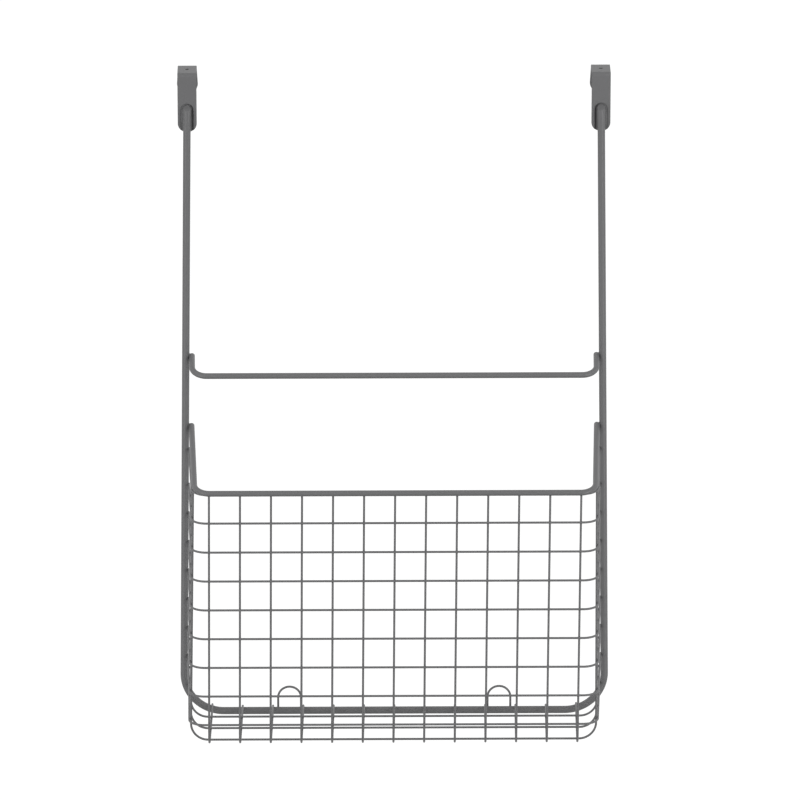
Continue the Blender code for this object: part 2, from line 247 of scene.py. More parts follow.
def unit(vector):
    """The vector's direction: the vector over its length."""
    return vector / np.linalg.norm(vector)


def fill_straights(points):
    """The same line, with points added wherever two neighbours stand far apart."""
    filled = [points[:1]]
    for start, end in zip(points, points[1:]):
        count = max(1, int(np.linalg.norm(end - start) / STRAIGHT_STEP))
        share = np.arange(1, count + 1)[:, None] / count
        filled.append(start + (end - start) * share)
    return np.concatenate(filled)


def rounded_route(corners, radius):
    """A bent rod's centre line: each inner corner becomes an arc, centre + radius * (cos t * start -
    sin t * back), where back points to the corner before, and the straights between the arcs are cut
    into short steps."""
    corners = [np.array(corner, float) for corner in corners]
    pieces = [corners[0][None]]
    for before, corner, after in zip(corners, corners[1:], corners[2:]):
        back = unit(before - corner)
        ahead = unit(after - corner)
        half_turn = (math.pi - math.acos(np.clip(back @ ahead, -1, 1))) / 2
        centre = corner + unit(back + ahead) * (radius / math.cos(half_turn))
        start = unit(corner + back * (radius * math.tan(half_turn)) - centre)
        count = max(FEWEST_BEND_STEPS, round(2 * half_turn * radius / BEND_STEP))
        turn = np.linspace(0, 2 * half_turn, count + 1)[:, None]
        pieces.append(centre + radius * (np.cos(turn) * start - np.sin(turn) * back))
    pieces.append(corners[-1][None])
    return fill_straights(np.concatenate(pieces))


def line_frames(points):
    """Tangents along a line and two directions across it, carried without twist: each direction
    across is the one before it, made square to the new tangent. As each needs the one before it, they
    are worked out point by point along the line."""
    steps = np.diff(points, axis=0)
    steps /= np.linalg.norm(steps, axis=1)[:, None]
    tangents = np.concatenate([steps[:1], steps[:-1] + steps[1:], steps[-1:]])
    tangents /= np.linalg.norm(tangents, axis=1)[:, None]
    across = [unit(np.cross(tangents[0], SLANT))]
    for tangent in tangents[1:]:
        across.append(unit(across[-1] - tangent * (across[-1] @ tangent)))
    across = np.array(across)
    return tangents, across, np.cross(tangents, across)


def grid_faces(rows, columns, closed=True):
    """Quads of a grid of rows by columns, as an array of vertex numbers. The columns run round when
    closed."""
    row, column = np.meshgrid(np.arange(rows - 1), np.arange(columns - (not closed)), indexing="ij")
    here = row * columns + column
    beside = row * columns + (column + 1) % columns
    return np.stack([here, beside, beside + columns, here + columns], axis=-1).reshape(-1, 4)


def close_ends(rows, sides):
    """Faces of a closed tube of rings, as two arrays of vertex numbers: quads between the rings, and a
    fan of triangles at each end. The two poles come after the rings."""
    ring = np.arange(sides)
    beside = (ring + 1) % sides
    last = (rows - 1) * sides
    low_pole, high_pole = rows * sides, rows * sides + 1
    low = np.stack([beside, ring, np.full(sides, low_pole)], axis=1)
    high = np.stack([last + ring, last + beside, np.full(sides, high_pole)], axis=1)
    return [grid_faces(rows, sides), np.concatenate([low, high])]


def tube(points, diameter, sides, end_slope=0.0):
    """A coated round rod: a circle carried along the centre line, point + radius * (cos t * across +
    sin t * up). Each end is closed by rings whose radius follows a quarter circle, which rounds its
    edge off. An end slope raises the end rings in proportion to how far behind the line they lie."""
    tangents, across, up = line_frames(points)
    radius = diameter / 2 + COAT_THICKNESS
    edge = radius * CAP_EDGE_SHARE
    angle = np.linspace(0, 2 * math.pi, sides, endpoint=False)[None, :, None]
    circle = np.cos(angle) * across[:, None] + np.sin(angle) * up[:, None]
    body = points[:, None] + radius * circle
    body[0] += tangents[0] * edge
    body[-1] -= tangents[-1] * edge
    turn = np.linspace(0, RIGHT_ANGLE, CAP_RINGS)[1:, None, None]
    outward = (np.sin(turn) - 1) * edge
    narrow = radius + (np.cos(turn) - 1) * edge
    low_cap = (points[0] - tangents[0] * outward + narrow * circle[0])[::-1]
    high_cap = points[-1] + tangents[-1] * outward + narrow * circle[-1]
    rings = np.concatenate([low_cap, body, high_cap])
    for end in (rings[:CAP_RINGS], rings[-CAP_RINGS:]):
        end[..., 2] += end_slope * (end[..., 1] - points[0][1])
    poles = np.stack([rings[0].mean(axis=0), rings[-1].mean(axis=0)])
    return np.concatenate([rings.reshape(-1, 3), poles]), close_ends(len(rings), sides)


def beads(centres, half_lengths):
    """Weld beads: a unit ball's points times each bead's half lengths along x, y and z, plus its
    centre, all in one array."""
    turn = np.linspace(0, math.pi, BEAD_RINGS + 1)[1:-1, None]
    angle = np.linspace(0, 2 * math.pi, BEAD_SIDES, endpoint=False)[None]
    flat = np.ones_like(angle)
    ring = np.sin(turn)
    ball = np.stack([ring * np.cos(angle), ring * np.sin(angle), -np.cos(turn) * flat], axis=-1)
    ball = np.concatenate([ball.reshape(-1, 3), [[0, 0, -1], [0, 0, 1]]])
    centres = np.array(centres, float)
    points = centres[:, None] + np.array(half_lengths, float)[:, None] * ball
    starts = np.arange(len(centres))[:, None, None] * len(ball)
    ball_faces = close_ends(BEAD_RINGS - 1, BEAD_SIDES)
    blocks = [(block + starts).reshape(-1, block.shape[1]) for block in ball_faces]
    return points.reshape(-1, 3), blocks


# Where the rods and wires run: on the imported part's lines, except where the values above move them.


def leg_half(z):
    """Half the distance between the frame's legs at height z, above the corners."""
    share = (FRAME_TOP_Z - z) / (FRAME_TOP_Z - FRAME_BAR_Z)
    return FRAME_TOP_HALF + (FRAME_BAR_HALF - FRAME_TOP_HALF) * share


def corner_centre_x():
    """The x of the centre of the bend between the right leg and the bottom bar."""
    lean = math.atan2(FRAME_BAR_HALF - FRAME_TOP_HALF, FRAME_TOP_Z - FRAME_BAR_Z)
    return leg_half(FRAME_BAR_Z + FRAME_CORNER) - FRAME_CORNER / math.cos(lean)


def beside_leg(z, inward):
    """The x at height z that lies inward of the right leg's centre line by the given distance."""
    into_corner = FRAME_BAR_Z + FRAME_CORNER - z
    if into_corner <= 0:
        return leg_half(z) - inward
    return corner_centre_x() + math.sqrt((FRAME_CORNER - inward) ** 2 - into_corner**2)


def on_leg(diameter):
    """How far inward of a leg's centre line a rod of the diameter lies against it."""
    return FRAME_DIAMETER / 2 + WELD_GAP + diameter / 2


def bar_rise(x):
    """How much higher the frame's bottom bar is at x than in its middle."""
    into_corner = abs(x) - corner_centre_x()
    if into_corner <= 0:
        return 0.0
    return FRAME_CORNER - math.sqrt(FRAME_CORNER**2 - into_corner**2)


def front_half(z):
    """Half the basket's width at its front at height z: it widens a little towards the bottom."""
    share = (RIM_FRONT_Z - z) / (RIM_FRONT_Z - LOWEST_BAND_Z)
    top = BASKET_TOP_HALF - TOP_DRAW
    return top + (BASKET_LOW_HALF - LOW_DRAW - top) * share


def side_x(y, z):
    """The x of the right side's band wires at depth y and height z: they draw in to the front."""
    back_x = beside_leg(z, on_leg(WIRE_DIAMETER) - BAND_SINK)
    share = (FRAME_Y - y) / (FRAME_Y - BAND_Y)
    return back_x + (front_half(z) - back_x) * share


def rim_arm(y):
    """The x and the height of the right rim arm's centre line at depth y."""
    back_x = beside_leg(RIM_BACK_Z, on_leg(BAR_DIAMETER))
    share = (FRAME_Y - y) / BASKET_DEPTH
    return back_x + (RIM_FRONT_HALF - back_x) * share, RIM_BACK_Z + (RIM_FRONT_Z - RIM_BACK_Z) * share


def mirrored(arm):
    """A route that follows an arm on the left and returns along its mirror image on the right."""
    return [(-x, y, z) for x, y, z in arm] + [tuple(point) for point in reversed(arm)]


def frame_route():
    """From the left hook down the leg, along the bottom bar and up to the right hook."""
    top_z = FRAME_TOP_Z - FRAME_END_DROP / 2
    arm = [(leg_half(top_z), FRAME_Y, top_z), (FRAME_BAR_HALF, FRAME_Y, FRAME_BAR_Z)]
    return rounded_route(mirrored(arm), FRAME_CORNER)


def towel_route():
    """From the left leg forward and down a slope, across, and back up to the right leg."""
    x = beside_leg(TOWEL_BACK_Z, on_leg(BAR_DIAMETER))
    back = np.array((x + ARM_SINK, FRAME_Y, TOWEL_BACK_Z))
    slope = np.array((0, -math.cos(TOWEL_SLOPE), -math.sin(TOWEL_SLOPE)))
    front = back + slope * TOWEL_ARM_LENGTH - (ARM_SINK, 0, 0)
    return rounded_route(mirrored([back - slope * END_OVERRUN, front]), TOWEL_CORNER)


def rim_route():
    """From the left leg forward and down the rim's arm, across the front and back to the right leg."""
    x = beside_leg(RIM_BACK_Z, on_leg(BAR_DIAMETER))
    back = np.array((x + ARM_SINK, FRAME_Y, RIM_BACK_Z))
    front = np.array((RIM_FRONT_HALF, FRONT_WIRE_Y, RIM_FRONT_Z))
    return rounded_route(mirrored([back - unit(front - back) * END_OVERRUN, front]), RIM_CORNER)


def front_route(x):
    """Down the front, round the lower edge and back along the bottom onto the frame's bar."""
    top = (x, FRONT_WIRE_Y, RIM_FRONT_Z - BAR_DIAMETER / 2 - WELD_GAP)
    end_z = BOTTOM_WIRE_Z + bar_rise(x)
    corners = [top, (x, FRONT_WIRE_Y, BOTTOM_WIRE_Z)]
    if end_z > BOTTOM_WIRE_Z:
        corners.append((x, FRAME_Y - FIRST_CRADLE_DEPTH + OUTER_WIRE_STEP, BOTTOM_WIRE_Z))
        corners.append((x, FRAME_Y - FRAME_DIAMETER, end_z))
    corners.append((x, FRAME_Y + END_OVERRUN, end_z))
    return rounded_route(corners, FRONT_WIRE_BEND)


def band_route(z):
    """From one leg forward along the side, across the front and back to the other leg."""
    back = (beside_leg(z, on_leg(WIRE_DIAMETER) - BAND_SINK), FRAME_Y + END_OVERRUN, z)
    return rounded_route(mirrored([back, (front_half(z), BAND_Y, z)]), BAND_CORNER)


def rim_wire_side():
    """The back end and the front corner of the right side of the wire below the rim."""
    x = beside_leg(RIM_WIRE_BACK_Z, on_leg(WIRE_DIAMETER) - BAND_SINK)
    front_z = RIM_FRONT_Z - RIM_WIRE_WELDED_DROP
    front = (RIM_WIRE_WELDED_HALF, FRONT_WIRE_Y + LAYER_STEP, front_z)
    return (x, FRAME_Y + END_OVERRUN, RIM_WIRE_BACK_Z), front


def cradle_side(y):
    """The upper and the lower corner of a cradle wire's right side. The upper one lies under the rim's
    sloped arm."""
    arm_slope = math.atan2(RIM_BACK_Z - RIM_FRONT_Z, BASKET_DEPTH)
    arm_x, arm_z = rim_arm(y)
    top_z = arm_z - BAR_DIAMETER / 2 / math.cos(arm_slope) - CRADLE_TOP_GAP
    top_x = min(side_x(y, top_z) - CRADLE_STEP, arm_x + CRADLE_TOP_OFFSET)
    return (top_x, y, top_z), (side_x(y, LOWEST_BAND_Z) - CRADLE_STEP, y, CRADLE_Z)


def cradle_route(y):
    """Down one side from under the rim's arm, across the bottom and up the other side."""
    return rounded_route(mirrored(cradle_side(y)), CRADLE_CORNER)


def loop_route(centre_x):
    """A hoop behind the bar: half a circle between two straight legs."""
    y = FRAME_Y + (FRAME_DIAMETER + WIRE_DIAMETER) / 2 + WELD_GAP
    angle = np.linspace(math.pi, 0, ARCH_STEPS + 1)
    arch_x = centre_x + LOOP_HALF_WIDTH * np.cos(angle)
    arch_z = LOOP_TOP_Z - LOOP_HALF_WIDTH + LOOP_HALF_WIDTH * np.sin(angle)
    arch = np.stack([arch_x, np.full_like(angle, y), arch_z], axis=1)
    feet = [(centre_x + side * LOOP_HALF_WIDTH, y, LOOP_END_Z) for side in (-1, 1)]
    return fill_straights(np.concatenate([[feet[0]], arch, [feet[1]]]))


# The hooks.


def strip_part(y, z, out_y, out_z, half, angle=RIGHT_ANGLE):
    """Rows of the strip, one to a line of the array: the middle line's y and z, the outward direction's
    y and z, the half width, and how far round an end's half circle the row lies. A number stands
    for all the rows."""
    return np.stack(np.broadcast_arrays(y, z, out_y, out_z, half, angle), axis=-1)


def strip_bend(centre_y, out_y, out_z):
    """Rows of the strip round a bend: the bend's centre plus the middle line's radius times the outward
    direction."""
    radius = HOOK_INNER_BEND + STRIP_THICKNESS / 2
    y = centre_y + radius * out_y
    return strip_part(y, radius * out_z - HOOK_INNER_BEND, out_y, out_z, STRIP_WIDTH / 2)


def strip_rows():
    """The strip's rows from the tip of the front plate up, over the door and down to the lip's tip. At a
    tip the half width is its full value times the sine of the row's angle, and down the lip it grows
    in proportion to the way down."""
    middle = STRIP_THICKNESS / 2
    half = STRIP_WIDTH / 2
    tip_z = half * (1 - np.cos(TIP_ANGLES)) - HOOK_FRONT_LENGTH
    low_z = half - HOOK_FRONT_LENGTH
    fine_top = SEAT_TOP_Z + 2 * SEAT_WALL
    fine = np.linspace(low_z, fine_top, round((fine_top - low_z) / HOOK_ROW) + 1)[1:]
    coarse = np.linspace(fine_top, -HOOK_INNER_BEND, PLATE_ROWS + 1)[1:]
    hole_y = DOOR_GAP / 2
    reach = HOLE_CELLS * HOOK_COLUMN
    rear_y = DOOR_GAP - HOOK_INNER_BEND
    stops = (HOOK_INNER_BEND, hole_y - reach, hole_y + reach, rear_y)
    counts = (TOP_ROWS, 2 * HOLE_CELLS, TOP_ROWS)
    top = [np.linspace(*ends, count + 1)[1:] for *ends, count in zip(stops, stops[1:], counts)]
    lip_y = DOOR_GAP + middle
    lip_half = half + HOOK_LIP_FLARE
    down = np.linspace(0, 1, LIP_ROWS + 1)[1:]
    lip_z = (lip_half - HOOK_LIP_LENGTH + HOOK_INNER_BEND) * down - HOOK_INNER_BEND
    lip_tip = TIP_ANGLES[-2::-1]
    lip_tip_z = lip_half * (1 - np.cos(lip_tip)) - HOOK_LIP_LENGTH
    parts = [
        strip_part(-middle, tip_z, -1, 0, half * np.sin(TIP_ANGLES), TIP_ANGLES),
        strip_part(-middle, np.concatenate([fine, coarse]), -1, 0, half),
        strip_bend(HOOK_INNER_BEND, -np.cos(BEND_ANGLES), np.sin(BEND_ANGLES)),
        strip_part(np.concatenate(top), middle, 0, 1, half),
        strip_bend(rear_y, np.sin(BEND_ANGLES), np.cos(BEND_ANGLES)),
        strip_part(lip_y, lip_z, 1, 0, half + HOOK_LIP_FLARE * down),
        strip_part(lip_y, lip_tip_z, 1, 0, lip_half * np.sin(lip_tip), lip_tip),
    ]
    return np.concatenate(parts)


def strip_columns():
    """Column places from -1 to 1 across the strip: even ones over its flat middle, and over each rounded
    edge 1 less the edge's radius times (1 - cos t), in shares of the half width."""
    half = STRIP_WIDTH / 2
    edge = 1 - EDGE_RADIUS * (1 - np.cos(EDGE_ANGLES)) / half
    flat = np.arange(-HOOK_COLUMNS_HALF, HOOK_COLUMNS_HALF + 1) * HOOK_COLUMN / half
    return np.concatenate([-edge[:-1], flat, edge[:-1][::-1]])


def seat_depth(x, z, side):
    """Depth of the coined seat: a smooth step down inside an arch-topped outline, which is deeper, with
    a wider slope, on the side towards the middle of the frame, where the rod isn't welded. The step is
    the share of the slope that is passed, squared, times three less twice that share."""
    half = SEAT_WIDTH / 2
    arch_z = SEAT_TOP_Z - half
    inside = half - np.where(z > arch_z, np.hypot(x, z - arch_z), np.abs(x))
    inward = np.clip(0.5 - side * x / half, 0, 1)
    share = np.clip(inside / (SEAT_WALL + (SEAT_INNER_WALL - SEAT_WALL) * inward), 0, 1)
    depth = SEAT_OUTER_DEPTH + (SEAT_INNER_DEPTH - SEAT_OUTER_DEPTH) * inward
    return depth * share * share * (3 - 2 * share)


def hook_skins(side, centre_x, rows):
    """The strip's outer and inner skin, two grids of points: the middle line's rows, moved out or in by
    half the thickness less the edge's rounding. The rounding is a circle's: the edge radius less the
    root of its square minus the square of what the distance to the outline falls short of it.
    On the front plate the outer skin is also sunk by the seat's depth."""
    columns = strip_columns()
    y, z, out_y, out_z, half, angle = rows.T[..., None]
    x = columns * half
    full = half / np.sin(angle)
    to_edge = full - full * np.sqrt(np.cos(angle) ** 2 + (columns * np.sin(angle)) ** 2)
    short = np.clip(EDGE_RADIUS - to_edge, 0, EDGE_RADIUS)
    rounding = EDGE_RADIUS - np.sqrt(EDGE_RADIUS**2 - short**2)
    lift = STRIP_THICKNESS / 2 - rounding
    outer_lift = lift - np.where(out_y == -1, seat_depth(x, z, side), 0)
    offsets = np.stack([outer_lift, -lift])
    xs = np.broadcast_to(centre_x + x, offsets.shape)
    return np.stack([xs, y + out_y * offsets, z + out_z * offsets], axis=-1)


def hole_rings(outline, centre):
    """Rings down through the hole: its centre plus the directions from there to the outline, times the
    hole's radius, which widens in a quarter circle towards either face."""
    around = outline[:, :2] - centre
    around /= np.linalg.norm(around, axis=1)[:, None]
    widths = HOOK_HOLE_DIAMETER / 2 + EDGE_RADIUS * (1 - np.sin(EDGE_ANGLES))
    heights = STRIP_THICKNESS - EDGE_RADIUS * (1 - np.cos(EDGE_ANGLES))
    widths = np.concatenate([widths, widths[::-1]])[:, None, None]
    heights = np.concatenate([heights, STRIP_THICKNESS - heights[::-1]])[:, None, None]
    flat = centre + around * widths
    return np.concatenate([flat, np.broadcast_to(heights, (*flat.shape[:2], 1))], axis=2)


def border(first_row, last_row, first_column, last_column, width):
    """Vertex numbers round a rectangle of a grid, once round."""
    top = first_row * width + np.arange(first_column, last_column)
    right = np.arange(first_row, last_row) * width + last_column
    bottom = last_row * width + np.arange(last_column, first_column, -1)
    left = np.arange(last_row, first_row, -1) * width + first_column
    return np.concatenate([top, right, bottom, left])


def between(above, below):
    """Quads between two closed rings of the same length."""
    return np.stack([above, np.roll(above, -1), np.roll(below, -1), below], axis=1)


def hook_surface(side):
    """A strip bent over the door: its two skins, a wall that joins them round the outline, and rings that
    join them through the hole."""
    centre_x = side * leg_half(-HOOK_FRONT_LENGTH / 2)
    hole_y = DOOR_GAP / 2
    rows = strip_rows()
    skins = hook_skins(side, centre_x, rows)
    count, width = skins.shape[1:3]
    inner = count * width

    on_top = rows[:, 3] == 1
    middle_row = int(np.argmin(np.where(on_top, np.abs(rows[:, 0] - hole_y), np.inf)))
    first_row, last_row = middle_row - HOLE_CELLS, middle_row + HOLE_CELLS
    first_column, last_column = width // 2 - HOLE_CELLS, width // 2 + HOLE_CELLS
    quads = grid_faces(count, width, closed=False)
    row, column = quads[:, 0] // width, quads[:, 0] % width
    in_hole = (row >= first_row) & (row < last_row) & (column >= first_column) & (column < last_column)
    quads = quads[~in_hole]
    outline = border(0, count - 1, 0, width - 1, width)
    faces = [quads, quads[:, ::-1] + inner, between(outline, outline + inner)]

    hole_outline = border(first_row, last_row, first_column, last_column, width)
    vertices = skins.reshape(-1, 3)
    rings = hole_rings(vertices[hole_outline], np.array((centre_x, hole_y)))
    numbers = len(vertices) + np.arange(rings[..., 0].size).reshape(rings.shape[:2])
    levels = [hole_outline, *numbers, hole_outline + inner]
    faces += [between(above, below) for above, below in zip(levels, levels[1:])]
    return np.concatenate([vertices, rings.reshape(-1, 3)]), faces


# Materials.


class Value:
    """A shader socket that takes part in Python arithmetic. Each operator adds one Math node."""

    def __init__(self, nodes, socket):
        self.nodes = nodes
        self.socket = socket

    def with_math(self, operation, first, second):
        """What a Math node makes of two values."""
        made = self.nodes.node("ShaderNodeMath", {"operation": operation}, {0: first, 1: second})
        return Value(self.nodes, made.outputs[0])

    def __add__(self, other):
        return self.with_math("ADD", self, other)

    def __mul__(self, other):
        return self.with_math("MULTIPLY", self, other)

    def __sub__(self, other):
        return self.with_math("SUBTRACT", self, other)

    def __rsub__(self, other):
        return self.with_math("SUBTRACT", other, self)

    def at_least(self, other):
        """The larger of this value and the other."""
        return self.with_math("MAXIMUM", self, other)

    __radd__ = __add__
    __rmul__ = __mul__


class Nodes:
    """The node tree of a material or of the world."""

    def __init__(self, owner, shader):
        owner.use_nodes = True
        self.owner = owner
        self.tree = owner.node_tree
        self.shader = self.tree.nodes[shader]
        self.place = self.node("ShaderNodeTexCoord", {}, {})

    def node(self, kind, settings, inputs):
        """A new node of the given type, with its settings made first and then its sockets fed."""
        made = self.tree.nodes.new(kind)
        for name, setting in settings.items():
            setattr(made, name, setting)
        for name, value in inputs.items():
            self.feed(made.inputs[name], value)
        return made

    def feed(self, socket, value):
        """Links a socket to a value or to another socket, or sets it to a number or a colour."""
        if isinstance(value, Value):
            value = value.socket
        if isinstance(value, bpy.types.NodeSocket):
            self.tree.links.new(value, socket)
        else:
            socket.default_value = value

    def noise(self, scale, detail=2.0, roughness=0.5):
        """A noise over the piece's own coordinates, from 0 to 1."""
        inputs = {"Vector": self.place.outputs["Object"], "Scale": scale, "Detail": detail}
        inputs["Roughness"] = roughness
        return Value(self, self.node("ShaderNodeTexNoise", {}, inputs).outputs["Fac"])

    def colours(self, share, low, high):
        """A colour between two colours. Sockets 6 and 7 of a colour Mix are its two colours."""
        settings = {"data_type": "RGBA"}
        made = self.node("ShaderNodeMix", settings, {0: share, 6: (*low, 1), 7: (*high, 1)})
        return made.outputs[2]

    def rays(self):
        """Whether a ray is seen by the camera, in a reflection or through glass: 1 or 0 for each."""
        path = self.node("ShaderNodeLightPath", {}, {})
        names = ("Is Camera Ray", "Is Glossy Ray", "Is Transmission Ray")
        return [Value(self, path.outputs[name]) for name in names]

    def bump(self, height, strength, distance):
        """A normal tilted by a height, which stands for the given distance where it is 1."""
        inputs = {"Strength": strength, "Distance": distance, "Height": height}
        return self.node("ShaderNodeBump", {}, inputs).outputs["Normal"]


def powder_coat(name, colour, roughness, peel):
    """Satin powder coat: the flow leaves a faint orange peel, fine grains of pigment speckle the
    colour, and the film's gloss drifts over a few centimetres."""
    coat = Nodes(bpy.data.materials.new(name), "Principled BSDF")
    drift = coat.noise(DRIFT_SCALE)
    peel_waves = coat.noise(PEEL_SCALE, detail=3.0)
    grains = coat.noise(GRAIN_SCALE, detail=1.0)
    share = drift * DRIFT_SHARE + peel_waves * PEEL_SHARE + grains * GRAIN_SHARE
    low = tuple(channel * (1 - COLOUR_SWING) for channel in colour)
    high = tuple(channel * (1 + COLOUR_SWING) for channel in colour)
    gloss = roughness + ROUGHNESS_SHIFT + drift * DRIFT_ROUGHNESS + grains * GRAIN_ROUGHNESS
    height = peel_waves + grains * GRAIN_HEIGHT
    coat.feed(coat.shader.inputs["Base Color"], coat.colours(share, low, high))
    coat.feed(coat.shader.inputs["Roughness"], gloss)
    coat.feed(coat.shader.inputs["Normal"], coat.bump(height, BUMP_STRENGTH, peel))
    coat.shader.inputs["IOR"].default_value = COAT_IOR
    return coat.owner


def floor_material():
    """A plain white floor. Seen straight or in a reflection it is lifted to white, and it still takes
    the object's shadow."""
    floor = Nodes(bpy.data.materials.new("studio_floor"), "Principled BSDF")
    camera, glossy, transmission = floor.rays()
    seen = camera + glossy + transmission
    floor.shader.inputs["Base Color"].default_value = (FLOOR_SHADE, FLOOR_SHADE, FLOOR_SHADE, 1)
    floor.shader.inputs["Roughness"].default_value = FLOOR_ROUGHNESS
    floor.shader.inputs["Specular IOR Level"].default_value = 0.0
    glow = floor.node("ShaderNodeEmission", {}, {"Color": (1, 1, 1, 1), "Strength": seen * FLOOR_GLOW})
    total = floor.node("ShaderNodeAddShader", {}, {0: floor.shader.outputs[0], 1: glow.outputs[0]})
    output = floor.tree.nodes["Material Output"]
    floor.tree.links.new(total.outputs[0], output.inputs["Surface"])
    return floor.owner


# Pieces.


def add_piece(name, shape, material, replaced=(), turn_outwards=False):
    """Puts a shape, which is an array of points and a list of arrays of faces, into the scene as one
    smooth piece that rides on the part's one body."""
    vertices, blocks = shape
    faces = [face for block in blocks for face in block.tolist()]
    mesh = bpy.data.meshes.new(name)
    mesh.from_pydata(vertices.tolist(), [], faces)
    if turn_outwards:
        edit = bmesh.new()
        edit.from_mesh(mesh)
        bmesh.ops.recalc_face_normals(edit, faces=edit.faces)
        edit.to_mesh(mesh)
        edit.free()
    mesh.materials.append(material)
    mesh.shade_smooth()
    piece = bpy.data.objects.new(name, mesh)
    bpy.context.scene.collection.objects.link(piece)
    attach(piece, "root")
    if replaced:
        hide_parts(*replaced)


def racked(shape):
    """The basket's shape with its lower front hanging to the left: x moves in proportion to the distance
    in front of the frame and to the distance below the rim's front."""
    vertices, faces = shape
    forward = np.clip((FRAME_Y - vertices[:, 1]) / BASKET_DEPTH, 0, 1)
    down = np.clip((RIM_FRONT_Z - vertices[:, 2]) / (RIM_FRONT_Z - BOTTOM_WIRE_Z), 0, 1)
    vertices[:, 0] -= RACK * forward * down
    return vertices, faces


def grid_crossings():
    """Bead centres and half lengths for every place where wires of the basket cross."""
    thin, wide = CROSSING_LAP, CROSSING_REACH
    places = []
    (rim_back_x, rim_back_y, rim_back_z), (rim_front_x, rim_front_y, rim_front_z) = rim_wire_side()
    for x in FRONT_XS:
        places.append(((x, (FRONT_WIRE_Y + rim_front_y) / 2, rim_front_z), (wide, thin, wide)))
        for z in BAND_ZS:
            places.append(((x, (FRONT_WIRE_Y + BAND_Y) / 2, z), (wide, thin, wide)))
        for y in CRADLE_YS:
            places.append(((x, y, (BOTTOM_WIRE_Z + CRADLE_Z) / 2), (wide, wide, thin)))
    for y in CRADLE_YS:
        (top_x, _, top_z), (low_x, _, low_z) = cradle_side(y)
        share = (rim_back_y - y) / (rim_back_y - rim_front_y)
        wire_x = rim_back_x + (rim_front_x - rim_back_x) * share
        wire_z = rim_back_z + (rim_front_z - rim_back_z) * share
        reach = (thin + (wire_x - top_x - CRADLE_STEP) / 2, wide, wide)
        places += [((side * (wire_x + top_x) / 2, y, wire_z), reach) for side in (-1, 1)]
        for z in BAND_ZS[BAND_ZS < top_z]:
            cradle_x = low_x + (top_x - low_x) * (z - low_z) / (top_z - low_z)
            reach = (thin + (side_x(y, z) - cradle_x - CRADLE_STEP) / 2, wide, wide)
            places += [((side * (side_x(y, z) + cradle_x) / 2, y, z), reach) for side in (-1, 1)]
    return zip(*places)


def rod_welds():
    """Bead centres and half lengths where wires and rods end on a rod."""
    gap = FRAME_DIAMETER / 2 + WELD_GAP / 2
    thin, wide = CROSSING_LAP, CROSSING_REACH
    places = []
    for x in FRONT_XS:
        places.append(((x, FRAME_Y, FRAME_BAR_Z + bar_rise(x) + gap), (wide, BAR_END_REACH, thin)))
        places.append(((x, FRONT_WIRE_Y, RIM_FRONT_Z - BAR_DIAMETER / 2), (wide, wide, thin)))
    for side in (-1, 1):
        for z in (*BAND_ZS, RIM_WIRE_BACK_Z):
            places.append(((side * beside_leg(z, gap), FRAME_Y, z), (thin, BAR_END_REACH, wide)))
        for z in (TOWEL_BACK_Z, RIM_BACK_Z):
            reach = (ROD_WELD_LAP, ROD_WELD_REACH, ROD_WELD_REACH)
            places.append(((side * beside_leg(z, gap), FRAME_Y, z), reach))
        for y in CRADLE_YS:
            top_x, _, top_z = cradle_side(y)[0]
            places.append(((side * top_x, y, top_z + CRADLE_TOP_GAP / 2), (wide, wide, thin)))
        for foot in (-1, 1):
            x = side * LOOP_CENTRE_X + foot * LOOP_HALF_WIDTH
            places.append(((x, FRAME_Y + gap, FRAME_BAR_Z), (wide, thin, BAR_END_REACH)))
        seat_z = (FRAME_TOP_Z - HOOK_FRONT_LENGTH) / 2 - SEAT_WELD_DROP
        places.append(((side * leg_half(seat_z), FRAME_Y + gap, seat_z), SEAT_WELD_REACH))
        outer_x = leg_half(seat_z) + SIDE_WELD_OFFSET
        outer_y = SEAT_OUTER_DEPTH - STRIP_THICKNESS - SIDE_WELD_STAND
        places.append(((side * outer_x, outer_y, seat_z + SIDE_WELD_RISE), SIDE_WELD_REACH))
    return zip(*places)


def add_wire(name, route, material, replaced):
    """A wire of the basket, drawn along its route and hung to the left like the rest of the basket."""
    add_piece(name, racked(tube(route, WIRE_DIAMETER, WIRE_SIDES)), material, replaced)


